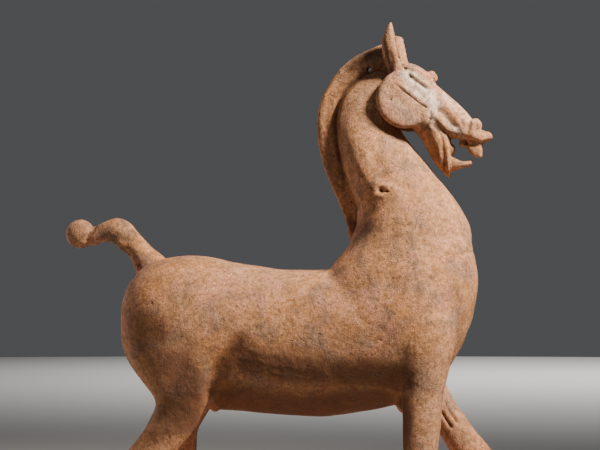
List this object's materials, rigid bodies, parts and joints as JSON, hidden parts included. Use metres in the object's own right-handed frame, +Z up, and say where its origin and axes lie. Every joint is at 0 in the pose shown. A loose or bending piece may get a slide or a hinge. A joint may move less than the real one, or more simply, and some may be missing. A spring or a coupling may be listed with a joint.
{
  "type": "standing horse sculpture",
  "caption": "Standing pottery horse with an arched neck, open mouth, pricked ears and a raised, ball-ended tail, on a thin low slab.",
  "frame": {"origin": "middle of the underside of the slab", "axes": "+X the way the horse faces, +Y its left side, +Z up"},
  "size_m": [1.0325, 0.3598, 1.1324],
  "materials": {
    "fired_clay": "matt unglazed earthenware, worn"
  },
  "bodies": {
    "root": {"funerary_horse": "fired_clay"}
  },
  "joints": []
}
